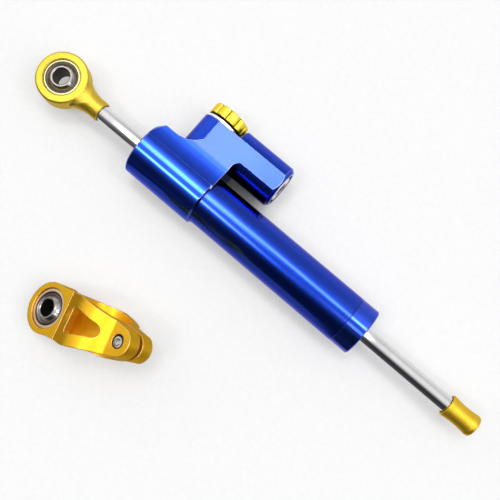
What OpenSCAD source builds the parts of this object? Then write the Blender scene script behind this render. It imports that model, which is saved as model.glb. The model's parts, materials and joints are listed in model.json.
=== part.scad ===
// Steering damper: an oil damper with a rod through both ends, a side
// reservoir with an adjuster, a rod eye, and a separate split clamp.
// Millimetres. Origin at the centre of the rod eye's bearing, +X along the
// rod towards the bumper, +Y towards the adjuster knob, +Z along the bore.

/* [Rod] */
// Diameter of the chromed rod
rod_d = 10; // [9:0.25:11]
// Bare rod between the rod eye and the head
rod_gap_eye = 33; // [25:0.5:45]
// Bare rod between the end cap and the bumper
rod_gap_bumper = 61.3; // [40:0.5:80]
// Radius of the turned-down threaded ends
stud_r = 4; // [3:0.1:4.2]
// Length of each threaded end
stud_len = 8.5; // [6:0.5:10]

/* [Rod eye] */
// Outer radius of the eye
eye_r = 16; // [14.5:0.25:18]
// Thickness of the eye
eye_t = 12; // [11:0.25:14]
// Rounding of the eye's edges
eye_round = 1.4; // [0.5:0.1:2]
// Radius of the neck round the rod
neck_r = 6.2; // [6:0.1:7.5]
// Distance from the bearing's centre to the end of the neck
neck_x = 31; // [28:0.5:40]
// Radius of the neck where it flares into the eye
flare_r = 9.6; // [8:0.2:11]
// How deep the rod's full diameter goes into the neck
neck_mouth = 2; // [1:0.1:3]

/* [Spherical bearings] */
// Outer radius of the outer ring
race_r = 11; // [10.5:0.1:12]
// Width of the outer ring
race_w = 10.5; // [9:0.25:11]
// Radius of the ball
ball_r = 9.4; // [9:0.1:9.8]
// Width of the ball across its flat faces
ball_w = 14; // [12:0.25:14.5]
// Radius of the bore through the ball
bore_r = 5; // [4:0.25:5.5]
// Gap between ball and outer ring
ball_gap = 0.04; // [0.02:0.01:0.08]

/* [Bumper] */
// Length of the bumper
bumper_len = 19.5; // [16:0.5:26]
// Radius at its two rims
bumper_r = 6.7; // [6.4:0.1:8]
// Radius at its waist
waist_r = 6.1; // [5.9:0.1:6.3]
// Depth of the recess round the rod
bumper_lip = 3; // [1:0.5:4]

/* [Head] */
// Outer radius of the head
head_r = 16.8; // [16.4:0.1:18]
// Length of the head along the rod
head_len = 48.3; // [48:0.5:54]
// Half the thickness of the web between head and reservoir
flat_z = 12.5; // [11.5:0.1:13]
// Where the web's flat top begins, measured from the rod's axis
flat_y = 22.3; // [20:0.5:25]
// Where the cut beside the adjuster boss lies, from the rod's axis
notch_y = 17; // [16.9:0.1:18]
// Radius of that cut's round end
notch_r = 18; // [14:0.5:22]

/* [Tube] */
// Outer radius of the tube
tube_r = 15.1; // [14.8:0.1:15.4]
// Wall of the tube
tube_wall = 1.8; // [1.5:0.1:2]
// Tube showing between the head and the end cap
tube_len = 105.5; // [95:0.5:130]
// End cap showing past the tube
cap_len = 11.9; // [11.5:0.1:15]
// Depth of the tube in the head
socket_len = 13.3; // [12:0.1:14]
// Gap between the tube and the liner, where oil flows back
oil_gap = 1.1; // [0.9:0.1:1.5]
// Wall of the liner that the piston runs in
liner_wall = 1.2; // [0.9:0.1:1.3]

/* [Rod guides] */
// Wall of the rod bushes, seals and wipers
guide_wall = 3; // [2.5:0.1:3.2]
// Length of a rod bush
bush_len = 12; // [9:0.5:12.5]
// Length of a rod seal
seal_len = 4; // [3:0.5:4.5]
// Length of a wiper
wiper_len = 3; // [2:0.5:3.5]
// Land between seal and wiper
land_len = 2; // [1.5:0.1:2.5]
// Running gap between the rod and its bushes
run_gap = 0.04; // [0.02:0.01:0.08]

/* [Piston] */
// Length of the piston
piston_len = 12; // [10:0.5:12.5]
// Where the piston's middle stands, measured from the eye's centre
piston_x = 162; // [161.5:0.1:162.5]
// Width of the piston's guide ring
band_w = 7; // [5:0.5:7.5]
// Thickness of a retaining clip
clip_t = 1; // [0.8:0.1:1.2]

/* [Reservoir] */
// Outer radius of the reservoir
res_r = 13.6; // [13:0.1:14.5]
// Distance of its axis from the rod's axis
res_y = 33.4; // [32.5:0.1:35]
// How far it stands out past the head
res_over = 28.7; // [24:0.5:34]
// Radius of its bore
res_bore = 10.2; // [9.8:0.1:10.6]
// Length of the floating piston
float_len = 7; // [6:0.5:8]
// Thickness of the end plug
plug_t = 7.5; // [6.5:0.5:8]
// Chamfer on its outer end
res_bevel = 2; // [1:0.1:2.4]
// How deep the end plug lies in the bore
plug_deep = 1.8; // [1.6:0.1:3.5]

/* [Adjuster] */
// Where the boss stands, measured from the head's left face
boss_in = 27; // [26.5:0.1:27.5]
// Distance from the rod's axis to the boss's end face
boss_y = 39; // [38.6:0.1:41]
// Radius of the knob over its lobes
knob_r = 12.2; // [10:0.1:12.4]
// Thickness of the knob
knob_t = 7; // [6:0.5:9]
// Number of lobes on the knob
lobes = 10; // [8:1:16]
// Rounding radius of a lobe
lobe_r = 5; // [3.6:0.1:6]
// Radius of the adjuster's stem
stem_r = 2.5; // [2.3:0.1:2.8]
// Height of the collar under the knob
collar_t = 1.8; // [1:0.1:3]
// Radius of the collar under the knob
collar_r = 11.4; // [8:0.1:11.6]
// Rise of the needle for one turn of the knob
needle_pitch = 0.7; // [0.5:0.05:0.8]
// Turns of the knob from rest to either stop
knob_turns = 1.25; // [0.5:0.25:1.25]

/* [Clamp] */
// Gap between the tube and the clamp's ring
ring_gap = 0.1; // [0.05:0.05:0.5]
// Wall of the ring
ring_wall = 4.8; // [4:0.1:5.5]
// Distance from the bearing to the ring's axis
arm_len = 29; // [28.5:0.5:34]
// How far the ring's axis lies behind the bearing's middle plane
arm_drop = 9; // [7:0.25:10]
// Radius of the boss round the bearing
lug_r = 15.3; // [14.5:0.1:17]
// Thickness of that boss
lug_t = 12.3; // [11:0.1:13]
// Outer radius of the outer ring of the clamp's bearing
clamp_race_r = 12; // [11.5:0.1:12.2]
// Half width of the clamp beside the boss
arm_half = 14.4; // [12.5:0.1:14.5]
// Distance from the bearing to the pinch screw
screw_u = 53.3; // [52.5:0.1:58]
// Radius of the rounded ears
ear_r = 8.2; // [7:0.1:10]
// Height of the front ear's face above the ring's axis
ear_front = 10.3; // [8.5:0.1:11]
// Height of the back ear's face below the ring's axis
ear_back = 10.2; // [8.5:0.1:12]
// Width of the slot between the ears
slot_w = 3; // [1.5:0.25:4]
// Radius of the pinch screw's thread
screw_r = 2; // [1.5:0.25:2.5]
// Where the clamp lies: along X
clamp_x = 87.7; // [60:0.1:150]
// Where the clamp lies: along Y
clamp_y = -104.6; // [-150:0.1:-90]
// Where the clamp's arm points, turned from +X
clamp_turn = 17.3; // [0:0.1:30]

/* [Hidden] */
$fn = 96;

blue = [0.10, 0.22, 0.74];
gold = [0.93, 0.70, 0.12];
steel = [0.75, 0.76, 0.78];
dark_steel = [0.42, 0.43, 0.46];
bronze = [0.70, 0.50, 0.28];
rubber = [0.10, 0.10, 0.11];
white = [0.90, 0.89, 0.84];

edge = 0.6;                  // small chamfer on machined edges
past = 1;                    // how far a cut runs past a face
rod_r = rod_d / 2;
guide_r = rod_r + guide_wall;
tube_in = tube_r - tube_wall;
liner_out = tube_in - oil_gap;
liner_r = liner_out - liner_wall;

// stations along the rod
head_x = neck_x + rod_gap_eye;
head_end = head_x + head_len;
seam_x = head_end + tube_len;
cap_end = seam_x + cap_len;
bumper_x = cap_end + rod_gap_bumper;
bumper_end = bumper_x + bumper_len;

// the rod guide in the head, from its left face
wiper_in = 0.5;              // how deep a wiper sits below the face
head_wiper = head_x + wiper_in;
head_seal = head_wiper + wiper_len + land_len;
head_bush = head_seal + seal_len;
tube_x = head_end - socket_len;
groove_w = 2;                // width of the oil groove before the tube
groove_r = tube_r - 0.9;
groove_x = tube_x - groove_w;
liner_seat = 3;
liner_x = groove_x - liner_seat;
chamber_x = head_bush + bush_len + 1.5;

// the rod guide in the end cap, mirrored
cap_wiper = cap_end - wiper_in - wiper_len;
cap_seal = cap_wiper - land_len - seal_len;
cap_bush = cap_seal - bush_len;
cap_shoulder = cap_bush - 1.2;
spigot_x = cap_shoulder - 4;
bleed_r = 1.2;               // oil holes at the liner's far end
bleed_x = spigot_x - bleed_r;

// the reservoir
res_end = head_end + res_over;
boss_x = head_x + boss_in;
boss_r = flat_z + 0.05;
boss_foot = 8;               // where the boss starts inside the head
res_x = boss_x + boss_r + 1;
res_bottom = res_x + 3;
plug_out = res_end - plug_deep;
plug_in = plug_out - plug_t;
plug_end = res_end - 0.1;
plug_face_r = res_bore - 2.2;
float_x = res_bottom + 5.5;
float_fit = 0.05;

// the adjuster, outwards along +Y
cell_r = 5;                  // oil space round the needle
cell_y = 19;
gland_r = 7;
gland_len = 12;              // how deep the gland sits in the boss
gland_y = boss_y - gland_len;
seat_r = 2.6;
seat_y = cell_y - 5.5;
orifice_r = 1;
oil_r = 1.2;                 // radius of the drilled oil ways
recess_r = 3.3;              // recess in the knob for its screw
notch_stop = 3.5;            // least distance of the cut from the boss
thread_r = 3.8;              // bore of the gland that the needle screws in
thread_fit = 0.05;
collar_y = boss_y + collar_t;
knob_y = collar_y + 0.7;
knob_end = knob_y + knob_t;
knob_web = knob_y + 4.5;     // where the knob rests on its stem
needle_room = 8.5;           // length of the gland's thread
stem_shoulder = gland_y + needle_room;
lift = needle_pitch * knob_turns;
needle_gap = 0.05;           // least gap between needle and orifice
needle_slope = 1 / 3;
needle_tip_r = 0.35;
needle_rod_r = 1.2;
needle_tip = cell_y - (orifice_r - needle_gap - needle_tip_r) / needle_slope + lift;
needle_body = gland_y + 0.1;
needle_body_end = stem_shoulder - 3.9;

// the clamp's pinch screw
screw_head_r = 1.75 * screw_r;
head_deep = 2 * screw_r + 0.5;

// the clamp's resting place
ring_in = tube_r + ring_gap;
ring_out = ring_in + ring_wall;
floor_z = -head_r;
lug_reach = arm_len + lug_r;
lug_up = lug_t / 2 - arm_drop;
clamp_tilt = asin(ring_out / sqrt(lug_reach * lug_reach + lug_up * lug_up)) - atan2(lug_up, lug_reach);
clamp_z = floor_z + lug_r * sin(clamp_tilt) + lug_t / 2 * cos(clamp_tilt);

// A solid turned about the X axis from points [radius, x].
module turned_x(points) {
    rotate([0, 90, 0])
        rotate_extrude()
            polygon(points);
}

// A solid turned about an axis along Y from points [radius, y].
module turned_y(x, points) {
    translate([x, 0, 0])
        rotate([-90, 0, 0])
            rotate_extrude()
                polygon(points);
}

// A round bar along X with a chamfer at each end.
module bar_x(x0, x1, r, c0 = 0, c1 = 0) {
    turned_x([[0, x0], [r - c0, x0], [r, x0 + c0], [r, x1 - c1], [r - c1, x1], [0, x1]]);
}

// A ring along X.
module ring_x(x0, x1, r_in, r_out) {
    turned_x([[r_in, x0], [r_out, x0], [r_out, x1], [r_in, x1]]);
}

// A rubber ring along X: its middle radius and its cord radius.
module o_ring_x(x, r, cord) {
    translate([x, 0, 0])
        rotate([0, 90, 0])
            rotate_extrude()
                translate([r, 0])
                    circle(cord, $fn = 32);
}

// Half the width, at u, of a flank that runs from the point [u1, v1] and
// would touch a circle of radius r about [u2, 0].
function flank(u1, v1, u2, r, u) =
    let (lean = atan2(v1, u2 - u1) - asin(r / norm([u2 - u1, v1])))
    v1 - (u - u1) * tan(lean);

// The web before its left end is trimmed: a flat slab, and hollow flanks
// that run from the head's round side down to the slab.
module web_bar() {
    flank_r = (flat_y * flat_y + flat_z * flat_z - head_r * head_r) / (2 * (head_r - flat_z));
    flank_z = flat_z + flank_r;
    touch_z = flank_z * head_r / norm([flat_y, flank_z]) - 0.2;
    translate([head_x, 0, -flat_z])
        cube([head_len, res_y, 2 * flat_z]);
    difference() {
        translate([head_x, 0, -touch_z])
            cube([head_len, flat_y, 2 * touch_z]);
        for (side = [-1, 1])
            translate([head_x - past, flat_y, side * flank_z])
                rotate([0, 90, 0])
                    cylinder(h = head_len + 2 * past, r = flank_r, $fn = 720);
    }
}

// The web from the head to the reservoir, trimmed to a cone at the left
// face and cut away beside the boss.
module web() {
    difference() {
        intersection() {
            web_bar();
            translate([head_x, 0, 0])
                rotate([0, 90, 0])
                    cylinder(h = head_len, r1 = head_r - 0.1, r2 = head_r - 0.1 + head_len);
        }
        translate([head_x - past, notch_y, -head_r])
            cube([boss_in - boss_r + past - notch_stop, res_y, 2 * head_r]);
        translate([boss_x - boss_r - notch_stop, notch_y + notch_r, -head_r])
            cylinder(h = 2 * head_r, r = notch_r);
    }
}

// The outside of the head, boss and reservoir as one block.
module head_outside() {
    corner_r = 5;
    flat_edge = res_y - sqrt(res_r * res_r - flat_z * flat_z);
    bar_x(head_x, head_end, head_r, edge, 0.9);
    web();
    // the boss that carries the adjuster
    intersection() {
        turned_y(boss_x, [[0, boss_foot], [boss_r, boss_foot], [boss_r, boss_y - edge], [boss_r - edge, boss_y], [0, boss_y]]);
        translate([boss_x - 2 * boss_r, 0, -flat_z])
            cube([4 * boss_r, boss_y + past, 2 * flat_z]);
    }
    translate([boss_x + 1, flat_y, -flat_z])
        cube([res_x - boss_x, boss_y - 0.2 - flat_y, 2 * flat_z]);
    // the reservoir, with a flat above and below
    intersection() {
        translate([0, res_y, 0])
            bar_x(res_x, res_end, res_r, 1, res_bevel);
        translate([res_x, res_y - res_r, -flat_z])
            cube([res_end - res_x, 2 * res_r, 2 * flat_z]);
    }
    // the hollow corner where the web's end meets the reservoir
    difference() {
        translate([head_end - past, flat_edge - corner_r, -flat_z])
            cube([past + corner_r, corner_r + past, 2 * flat_z]);
        translate([head_end + corner_r, flat_edge - corner_r, -flat_z - past])
            cylinder(h = 2 * (flat_z + past), r = corner_r);
    }
}

// The block is machined from one billet: head, web, boss and reservoir.
module head_block() {
    color(blue)
        difference() {
            head_outside();
            // rod guide, oil chamber and tube socket, one stepped bore
            turned_x([
                [0, head_x - past],
                [guide_r, head_x - past],
                [guide_r, head_wiper + wiper_len],
                [rod_r + edge, head_wiper + wiper_len],
                [rod_r + edge, head_seal],
                [guide_r, head_seal],
                [guide_r, chamber_x],
                [liner_r, chamber_x],
                [liner_r, liner_x],
                [liner_out, liner_x],
                [liner_out, groove_x],
                [groove_r, groove_x],
                [groove_r, tube_x],
                [tube_r, tube_x],
                [tube_r, head_end + past],
                [0, head_end + past]
            ]);
            // adjuster bore: seat, oil cell and gland
            turned_y(boss_x, [
                [0, boss_foot],
                [1.5, boss_foot],
                [1.5, seat_y],
                [seat_r, seat_y],
                [seat_r, cell_y],
                [cell_r, cell_y],
                [cell_r, gland_y],
                [gland_r, gland_y],
                [gland_r, boss_y + past],
                [0, boss_y + past]
            ]);
            // slanting oil way from the groove round the liner to the cell
            oil_way([groove_x + groove_w / 2, groove_r - 1], [boss_x + 2, cell_y + 4.5]);
            // oil way from the cell to the reservoir
            translate([boss_x + 3, cell_y + 6.2, 0])
                rotate([0, 90, 0])
                    cylinder(h = res_bottom - boss_x - 2.5, r = oil_r);
            // bore of the reservoir and the groove for its circlip
            translate([0, res_y, 0]) {
                turned_x([
                    [0, res_bottom],
                    [res_bore, res_bottom],
                    [res_bore, plug_out],
                    [res_bore + 1, plug_out],
                    [res_bore + 1, plug_out + clip_t + 0.1],
                    [res_bore, plug_out + clip_t + 0.1],
                    [res_bore, res_end - 0.4],
                    [res_bore + 0.4 + past, res_end + past],
                    [0, res_end + past]
                ]);
            }
        }
}

// A drilled way between two points of the plane z = 0.
module oil_way(from, to) {
    run = to - from;
    translate([from[0], from[1], 0])
        rotate([0, 0, atan2(run[1], run[0])])
            rotate([0, 90, 0])
                cylinder(h = norm(run), r = oil_r);
}

o_cord = 0.55;

module damper_tube() {
    color(blue)
        turned_x([
            [tube_in, tube_x],
            [tube_r, tube_x],
            [tube_r, tube_x + 2],
            [tube_r - 2 * o_cord, tube_x + 2],
            [tube_r - 2 * o_cord, tube_x + 2 + 3 * o_cord],
            [tube_r, tube_x + 2 + 3 * o_cord],
            [tube_r, seam_x - 0.3],
            [tube_r - 0.3, seam_x],
            [tube_in, seam_x]
        ]);
}

// The liner makes an oil way between itself and the tube: oil leaves the
// far chamber through holes near its end.
module inner_tube() {
    color(steel)
        difference() {
            ring_x(liner_x, cap_shoulder, liner_r, liner_out);
            for (turn = [0, 90])
                translate([bleed_x, 0, 0])
                    rotate([turn, 0, 0])
                        cylinder(h = 4 * tube_r, r = bleed_r, center = true);
        }
}

// Where the rubber ring of the end cap's spigot sits.
cap_ring_x = seam_x - 4;

module end_cap() {
    color(blue)
        difference() {
            turned_x([
                [0, spigot_x],
                [tube_in, spigot_x],
                [tube_in, cap_ring_x - 1.5 * o_cord],
                [tube_in - 2 * o_cord, cap_ring_x - 1.5 * o_cord],
                [tube_in - 2 * o_cord, cap_ring_x + 1.5 * o_cord],
                [tube_in, cap_ring_x + 1.5 * o_cord],
                [tube_in, seam_x],
                [tube_r - 0.3, seam_x],
                [tube_r, seam_x + 0.3],
                [tube_r, cap_end - edge],
                [tube_r - edge, cap_end],
                [0, cap_end]
            ]);
            turned_x([
                [0, spigot_x - past],
                [liner_out, spigot_x - past],
                [liner_out, cap_shoulder],
                [guide_r, cap_shoulder],
                [guide_r, cap_seal + seal_len],
                [rod_r + edge, cap_seal + seal_len],
                [rod_r + edge, cap_wiper],
                [guide_r, cap_wiper],
                [guide_r, cap_end + past],
                [0, cap_end + past]
            ]);
        }
}

module rod_bushes() {
    color(bronze)
        for (x = [head_bush, cap_bush])
            ring_x(x, x + bush_len, rod_r + run_gap, guide_r);
}

// A lip seal: a ring with a groove in the face that the oil pushes on.
module lip_seal(x, dir) {
    lip = guide_wall / 3;
    turned_x([
        [rod_r + run_gap, x],
        [guide_r, x],
        [guide_r, x + dir * seal_len],
        [guide_r - lip, x + dir * seal_len],
        [guide_r - lip * 1.5, x + dir * seal_len * 0.5],
        [rod_r + run_gap + lip, x + dir * seal_len],
        [rod_r + run_gap, x + dir * seal_len]
    ]);
}

module rod_seals() {
    color(rubber) {
        lip_seal(head_seal, 1);
        lip_seal(cap_seal + seal_len, -1);
    }
}

// A wiper: a ring with a scraping lip that faces out.
module wiper(x, dir) {
    turned_x([
        [rod_r + run_gap, x],
        [guide_r, x],
        [guide_r, x - dir * (wiper_len - 0.4)],
        [rod_r + guide_wall / 2, x - dir * (wiper_len - 0.8)],
        [rod_r + run_gap + 0.5, x - dir * wiper_len],
        [rod_r + run_gap, x - dir * wiper_len]
    ]);
}

module rod_wipers() {
    color(rubber) {
        wiper(head_wiper + wiper_len, 1);
        wiper(cap_wiper, -1);
    }
}

module tube_o_rings() {
    color(rubber) {
        o_ring_x(tube_x + 2 + 1.5 * o_cord, tube_r - o_cord, o_cord);
        o_ring_x(cap_ring_x, tube_in - o_cord, o_cord);
    }
}

module valve_seat() {
    color(bronze)
        turned_y(boss_x, [[orifice_r, seat_y], [seat_r, seat_y], [seat_r, cell_y], [orifice_r, cell_y]]);
}

// The gland screws into the boss, guides the needle and holds the stem.
module adjuster_gland() {
    color(steel)
        turned_y(boss_x, [
            [thread_r, gland_y],
            [gland_r, gland_y],
            [gland_r, boss_y],
            [collar_r, boss_y],
            [collar_r, collar_y - 0.3],
            [collar_r - 0.3, collar_y],
            [stem_r + thread_fit, collar_y],
            [stem_r + thread_fit, stem_shoulder],
            [thread_r, stem_shoulder]
        ]);
}

plug_ring_x = plug_in + 3;
plug_cord = 0.8;
fill_r = 2.5;

fill_head_r = 4.2;
fill_head = 1.1;
fill_seat = plug_end - fill_head - 0.1;
clip_lug = 24;               // angle of a circlip's lug from its opening
clip_lug_at = res_bore - 2.2;
clip_lug_r = 1.9;

// The plug's raised face passes through its circlip and is notched for the
// circlip's lugs.
module end_plug() {
    notch = clip_lug_at * cos(clip_lug) - clip_lug_r - 0.3;
    notch_half = clip_lug_at * sin(clip_lug) + clip_lug_r + 0.5;
    color(white)
        translate([0, res_y, 0])
            difference() {
                turned_x([
                    [0, plug_in],
                    [res_bore, plug_in],
                    [res_bore, plug_ring_x - 1.3 * plug_cord],
                    [res_bore - 2 * plug_cord, plug_ring_x - 1.3 * plug_cord],
                    [res_bore - 2 * plug_cord, plug_ring_x + 1.3 * plug_cord],
                    [res_bore, plug_ring_x + 1.3 * plug_cord],
                    [res_bore, plug_out],
                    [plug_face_r, plug_out],
                    [plug_face_r, plug_end - 0.3],
                    [plug_face_r - 0.3, plug_end],
                    [fill_head_r + 0.3, plug_end],
                    [fill_head_r + 0.3, fill_seat],
                    [fill_r, fill_seat],
                    [fill_r, plug_in + 1.2],
                    [0, plug_in + 1.2]
                ]);
                translate([plug_out, -notch_half, -res_bore])
                    cube([plug_deep + past, 2 * notch_half, res_bore - notch]);
            }
}

module plug_o_ring() {
    color(rubber)
        translate([0, res_y, 0])
            o_ring_x(plug_ring_x, res_bore - plug_cord, plug_cord);
}

// An inside circlip: a ring open at one side, with a lug and a hole for
// the pliers at each end.
module plug_circlip() {
    far = 3 * res_bore;
    gap_half = far * tan(clip_lug - 8);
    color(dark_steel)
        translate([plug_out, res_y, 0])
            rotate([0, 90, 0])
                linear_extrude(clip_t)
                    difference() {
                        union() {
                            difference() {
                                circle(res_bore + 0.95);
                                circle(res_bore - 1.6);
                                polygon([[0, 0], [far, -gap_half], [far, gap_half]]);
                            }
                            for (side = [-1, 1])
                                rotate(side * clip_lug)
                                    translate([clip_lug_at, 0])
                                        circle(clip_lug_r);
                        }
                        for (side = [-1, 1])
                            rotate(side * clip_lug)
                                translate([clip_lug_at - 0.1, 0])
                                    circle(0.8, $fn = 24);
                    }
}

module fill_screw() {
    socket = 1.9;
    color(bronze)
        translate([0, res_y, 0])
            difference() {
                turned_x([
                    [0, plug_in + 1.7],
                    [fill_r - 0.3, plug_in + 1.7],
                    [fill_r, plug_in + 2],
                    [fill_r, fill_seat],
                    [fill_head_r, fill_seat],
                    [fill_head_r, fill_seat + fill_head - 0.3],
                    [fill_head_r - 0.3, fill_seat + fill_head],
                    [0, fill_seat + fill_head]
                ]);
                translate([fill_seat + fill_head - 2, 0, 0])
                    rotate([0, 90, 0])
                        cylinder(h = 3, r = socket, $fn = 6);
            }
}

piston_in = piston_x - piston_len / 2;
piston_out = piston_x + piston_len / 2;
clip_in = 0.5;               // depth of a clip's groove in the rod

module piston_rod() {
    color(steel)
        turned_x([
            [0, neck_x - stud_len * 2],
            [stud_r - 0.5, neck_x - stud_len * 2],
            [stud_r, neck_x - stud_len * 2 + 0.5],
            [stud_r, neck_x - neck_mouth],
            [rod_r, neck_x - neck_mouth],
            [rod_r, piston_in - clip_t],
            [rod_r - clip_in, piston_in - clip_t],
            [rod_r - clip_in, piston_in],
            [rod_r, piston_in],
            [rod_r, piston_out],
            [rod_r - clip_in, piston_out],
            [rod_r - clip_in, piston_out + clip_t],
            [rod_r, piston_out + clip_t],
            [rod_r, bumper_x + 2 * bumper_lip],
            [stud_r, bumper_x + 2 * bumper_lip],
            [stud_r, bumper_x + 2 * bumper_lip + stud_len - 0.5],
            [stud_r - 0.5, bumper_x + 2 * bumper_lip + stud_len],
            [0, bumper_x + 2 * bumper_lip + stud_len]
        ]);
}

band_fit = 0.03;             // gap between the guide ring and the liner
band_t = 1.2;
piston_r = liner_r - 0.3;
band_in = liner_r - band_fit - band_t;

module piston() {
    color(steel)
        turned_x([
            [rod_r, piston_in],
            [piston_r - edge, piston_in],
            [piston_r, piston_in + edge],
            [piston_r, piston_x - band_w / 2],
            [band_in - thread_fit, piston_x - band_w / 2],
            [band_in - thread_fit, piston_x + band_w / 2],
            [piston_r, piston_x + band_w / 2],
            [piston_r, piston_out - edge],
            [piston_r - edge, piston_out],
            [rod_r, piston_out]
        ]);
}

module piston_clips() {
    color(dark_steel)
        for (x = [piston_in - clip_t, piston_out])
            difference() {
                ring_x(x, x + clip_t, rod_r - clip_in, rod_r + 1.6);
                translate([x - past, -2.5, 0])
                    cube([clip_t + 2 * past, 5, 2 * rod_r]);
            }
}

module piston_guide_ring() {
    color(white)
        ring_x(piston_x - band_w / 2 + thread_fit, piston_x + band_w / 2 - thread_fit, band_in, liner_r - band_fit);
}

// The eye's round body, with rounded rims and the bore for the bearing.
module eye_body(r, t, round) {
    rotate_extrude()
        union() {
            square([r - round, t / 2]);
            square([r, t / 2 - round]);
            translate([r - round, t / 2 - round])
                circle(round, $fn = 48);
            mirror([0, 1]) {
                square([r - round, t / 2]);
                square([r, t / 2 - round]);
                translate([r - round, t / 2 - round])
                    circle(round, $fn = 48);
            }
        }
}

// The neck turned about the rod, with a hollow flare into the eye.
module neck() {
    flare_x = 14;
    thin_x = 26;
    steps = 12;
    run = thin_x - flare_x;
    drop = flare_r - neck_r;
    sweep = (run * run + drop * drop) / (2 * drop);
    turned_x(concat(
        [[0, flare_x - 6], [flare_r, flare_x - 6]],
        [for (i = [0 : steps])
            let (x = flare_x + run * i / steps)
            [neck_r + sweep - sqrt(sweep * sweep - (thin_x - x) * (thin_x - x)), x]],
        [[neck_r, neck_x - edge], [neck_r - edge, neck_x], [0, neck_x]]
    ));
}

// The neck's section is a lens where it is wide: its round faces stand a
// little proud of the eye's flat faces.
module neck_lens() {
    half = neck_r + 0.3;
    round_r = flare_r + 1.4;
    intersection_for (side = [-1, 1])
        translate([0, 0, side * (round_r - half)])
            rotate([0, 90, 0])
                cylinder(h = neck_x + past, r = round_r);
}

module rod_eye() {
    color(gold)
        difference() {
            union() {
                eye_body(eye_r, eye_t, eye_round);
                intersection() {
                    neck();
                    neck_lens();
                }
            }
            for (side = [0, 180])
                rotate([side, 0, 0])
                    translate([0, 0, eye_t / 2])
                        cylinder(h = eye_t, r = eye_r);
            cylinder(h = 2 * eye_t, r = race_r, center = true);
            bar_x(neck_x - stud_len * 2 - 0.3, neck_x, stud_r);
            bar_x(neck_x - neck_mouth, neck_x + past, rod_r + 0.5);
        }
}

// The outer ring of a spherical bearing, hollow like the ball, with a
// bevel round its mouth.
module race(r, mouth) {
    bevel = 0.4;
    hollow = ball_r + ball_gap;
    rotate_extrude()
        difference() {
            translate([0, -race_w / 2])
                polygon([[0, 0], [r - bevel, 0], [r, bevel],
                         [r, race_w - bevel], [r - bevel, race_w], [0, race_w]]);
            circle(hollow);
            for (side = [-1, 1])
                polygon([[0, side * race_w / 4], [mouth - race_w / 4, side * race_w / 4],
                         [mouth + past, side * (race_w / 2 + past)], [0, side * (race_w / 2 + past)]]);
            translate([-hollow - past, -race_w])
                square([hollow + past, 2 * race_w]);
        }
}

// The ball: a sphere cut flat on both sides, with the bore for the bolt.
module ball() {
    lead = 0.5;
    difference() {
        intersection() {
            sphere(ball_r);
            cube([2 * ball_r, 2 * ball_r, ball_w], center = true);
        }
        cylinder(h = 2 * ball_w, r = bore_r, center = true);
        for (side = [0, 180])
            rotate([side, 0, 0])
                translate([0, 0, ball_w / 2 - lead])
                    cylinder(h = 2 * lead, r1 = bore_r, r2 = bore_r + 2 * lead);
    }
}

module rod_eye_race() {
    color(steel)
        race(race_r, ball_r - 0.5);
}

module rod_eye_ball() {
    color(steel)
        ball();
}

// The bumper: rims at both ends, a waist between, a domed end.
module bumper() {
    steps = 12;
    rim = 1.6;
    dome = 1.2;
    waist_x0 = bumper_x + rim;
    waist_x1 = bumper_end - dome - 1;
    span = waist_x1 - waist_x0;
    rod_end = bumper_x + 2 * bumper_lip;
    color(gold)
        turned_x(concat(
            [[rod_r + 0.6, bumper_x], [bumper_r - 0.3, bumper_x], [bumper_r, bumper_x + 0.3]],
            [for (i = [0 : steps])
                [waist_r + (bumper_r - waist_r) * pow(2 * i / steps - 1, 2), waist_x0 + span * i / steps]],
            [[bumper_r - 0.5, bumper_end - dome * 0.5], [bumper_r - 1.6, bumper_end], [0, bumper_end],
             [0, rod_end + stud_len + 0.3], [stud_r, rod_end + stud_len + 0.3], [stud_r, rod_end],
             [rod_r, rod_end], [rod_r, bumper_x + bumper_lip], [rod_r + 0.6, bumper_x + bumper_lip]]
        ));
}

// The knob's outline: round lobes with a sharp groove between each pair,
// one of them uppermost.
module lobed(r) {
    circle(r - lobe_r);
    for (i = [0 : lobes - 1])
        rotate(90 + 360 / lobes * (i + 0.5))
            translate([r - lobe_r, 0])
                circle(lobe_r, $fn = 48);
}

module adjuster_knob() {
    bevel = 0.7;
    color(gold)
        difference() {
            intersection() {
                translate([boss_x, knob_y, 0])
                    rotate([-90, 0, 0])
                        linear_extrude(knob_t)
                            lobed(knob_r);
                turned_y(boss_x, [
                    [0, knob_y],
                    [knob_r - bevel, knob_y],
                    [knob_r, knob_y + bevel],
                    [knob_r, knob_end - bevel],
                    [knob_r - bevel, knob_end],
                    [0, knob_end]
                ]);
            }
            turned_y(boss_x, [
                [0, knob_y - past],
                [stem_r, knob_y - past],
                [stem_r, knob_web],
                [recess_r, knob_web],
                [recess_r, knob_end + past],
                [0, knob_end + past]
            ]);
        }
}

tongue = 2.2;                // square end of the stem that turns the needle
screw_hole = 1.5;
seal_y = stem_shoulder + 2.5;
stem_cord = 0.38;

module adjuster_stem() {
    collar = 1.4;
    color(steel)
        difference() {
            union() {
                turned_y(boss_x, [
                    [0, stem_shoulder - collar - 0.05],
                    [thread_r - 0.1, stem_shoulder - collar - 0.05],
                    [thread_r - 0.1, stem_shoulder - 0.05],
                    [stem_r, stem_shoulder - 0.05],
                    [stem_r, seal_y - 1.4 * stem_cord],
                    [stem_r - 2 * stem_cord, seal_y - 1.4 * stem_cord],
                    [stem_r - 2 * stem_cord, seal_y + 1.4 * stem_cord],
                    [stem_r, seal_y + 1.4 * stem_cord],
                    [stem_r, knob_web],
                    [0, knob_web]
                ]);
                translate([boss_x - tongue / 2, needle_body + 2.2, -tongue / 2])
                    cube([tongue, stem_shoulder - collar - needle_body - 2.2, tongue]);
            }
            turned_y(boss_x, [
                [0, seal_y + 1.5],
                [screw_hole, seal_y + 1.5],
                [screw_hole, knob_web + past],
                [0, knob_web + past]
            ]);
        }
}

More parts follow.
